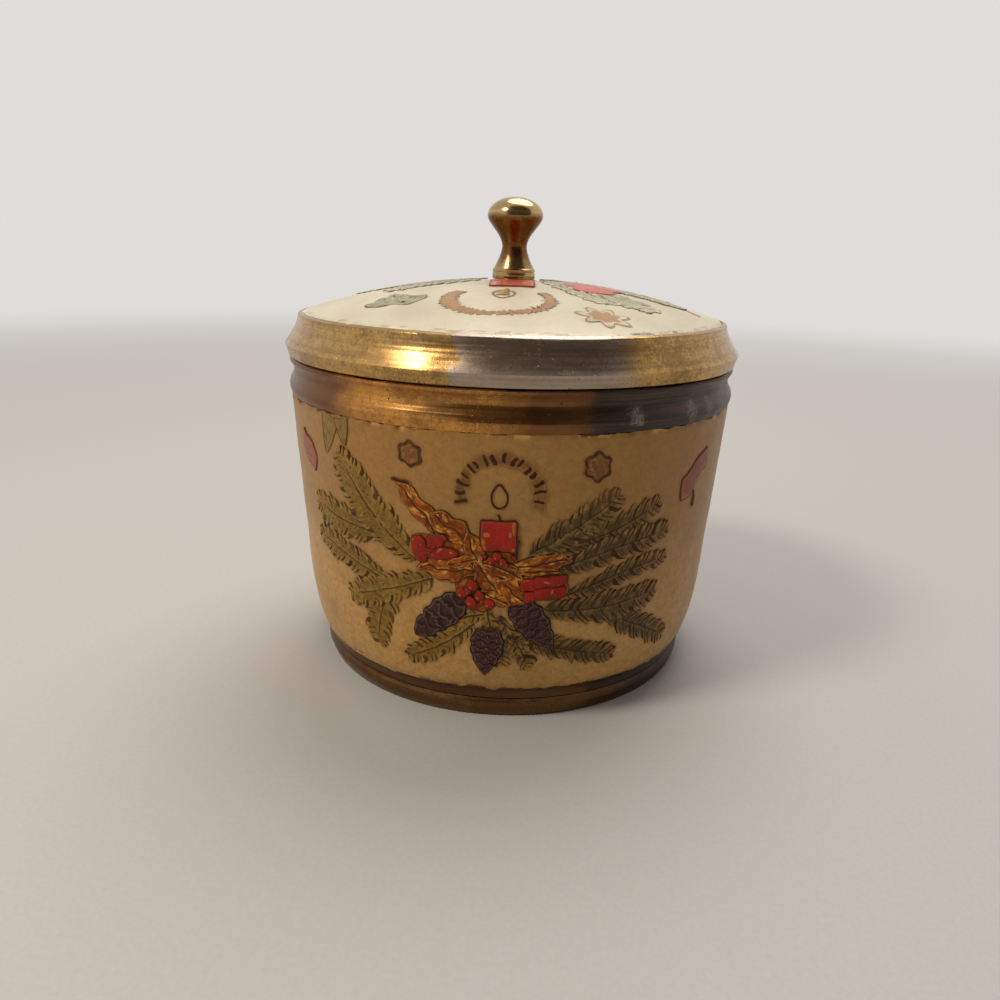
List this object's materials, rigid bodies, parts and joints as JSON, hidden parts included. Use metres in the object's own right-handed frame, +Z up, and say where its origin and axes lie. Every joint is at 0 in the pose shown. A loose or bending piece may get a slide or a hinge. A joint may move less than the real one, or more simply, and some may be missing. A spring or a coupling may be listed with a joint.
{
  "type": "lidded canister",
  "caption": "Round brass canister with an enamelled wall, standing on a foot ring, with a domed lift-off lid and a turned knob.",
  "frame": {"origin": "centre of the foot ring's underside, on the table", "axes": "+Z up along the pot's axis, -Y towards the front of the ornament, +X to the viewer's right"},
  "size_m": [0.127, 0.127, 0.1293],
  "materials": {
    "spun_brass": "spun, mottled with old tarnish",
    "dark_brass": "dark tarnish",
    "knob_brass": "turned and polished",
    "cream_enamel": "glossy cream ground",
    "red_enamel": "glossy red fill",
    "amber_enamel": "translucent amber over brass",
    "fir_enamel": "fir green with engraved needles",
    "cone_enamel": "violet brown with engraved scales",
    "pink_enamel": "dull pink fill",
    "olive_enamel": "olive fill"
  },
  "bodies": {
    "pot": {"foot_ring": "dark_brass", "base_disc": "dark_brass", "body_wall": "spun_brass", "body_enamel": "cream_enamel", "candle": "red_enamel", "berries": "red_enamel", "ribbon_left": "red_enamel", "ribbon_right": "red_enamel", "amber_leaf_left": "amber_enamel", "amber_leaf_upper": "amber_enamel", "amber_leaf_right": "amber_enamel", "amber_leaf_centre": "amber_enamel", "cone_left": "cone_enamel", "cone_centre": "cone_enamel", "cone_right": "cone_enamel", "upper_left_boughs": "fir_enamel", "lower_left_boughs": "fir_enamel", "upper_right_boughs": "fir_enamel", "lower_right_boughs": "fir_enamel", "low_bough_left": "fir_enamel", "low_bough_right": "fir_enamel", "star_left": "amber_enamel", "star_right": "amber_enamel", "pink_ribbon_right": "pink_enamel", "pink_ribbon_left": "pink_enamel", "olive_leaf": "olive_enamel", "candle_back": "red_enamel", "ribbon_left_back": "red_enamel", "ribbon_right_back": "red_enamel", "amber_leaf_left_back": "amber_enamel", "amber_leaf_upper_back": "amber_enamel", "amber_leaf_right_back": "amber_enamel", "amber_leaf_centre_back": "amber_enamel", "cone_left_back": "cone_enamel", "cone_centre_back": "cone_enamel", "cone_right_back": "cone_enamel", "upper_left_boughs_back": "fir_enamel", "lower_left_boughs_back": "fir_enamel", "upper_right_boughs_back": "fir_enamel", "lower_right_boughs_back": "fir_enamel", "low_bough_left_back": "fir_enamel", "low_bough_right_back": "fir_enamel", "star_left_back": "amber_enamel", "star_right_back": "amber_enamel", "pink_ribbon_right_back": "pink_enamel"},
    "lid": {"lid_shell": "spun_brass", "lid_collar": "dark_brass", "lid_enamel": "cream_enamel", "lid_candle": "red_enamel", "lid_glow": "amber_enamel", "lid_ribbon": "red_enamel", "lid_star": "amber_enamel", "lid_leaf": "olive_enamel", "lid_cone": "cone_enamel", "lid_boughs_right": "fir_enamel", "lid_boughs_left": "fir_enamel", "knob": "knob_brass", "knob_washer": "dark_brass", "knob_screw": "dark_brass"}
  },
  "joints": [
    {"name": "lid_lift", "type": "slide", "parent": "pot", "child": "lid", "axis": [0, 0, 1], "range_m": [0, 0.12]}
  ]
}
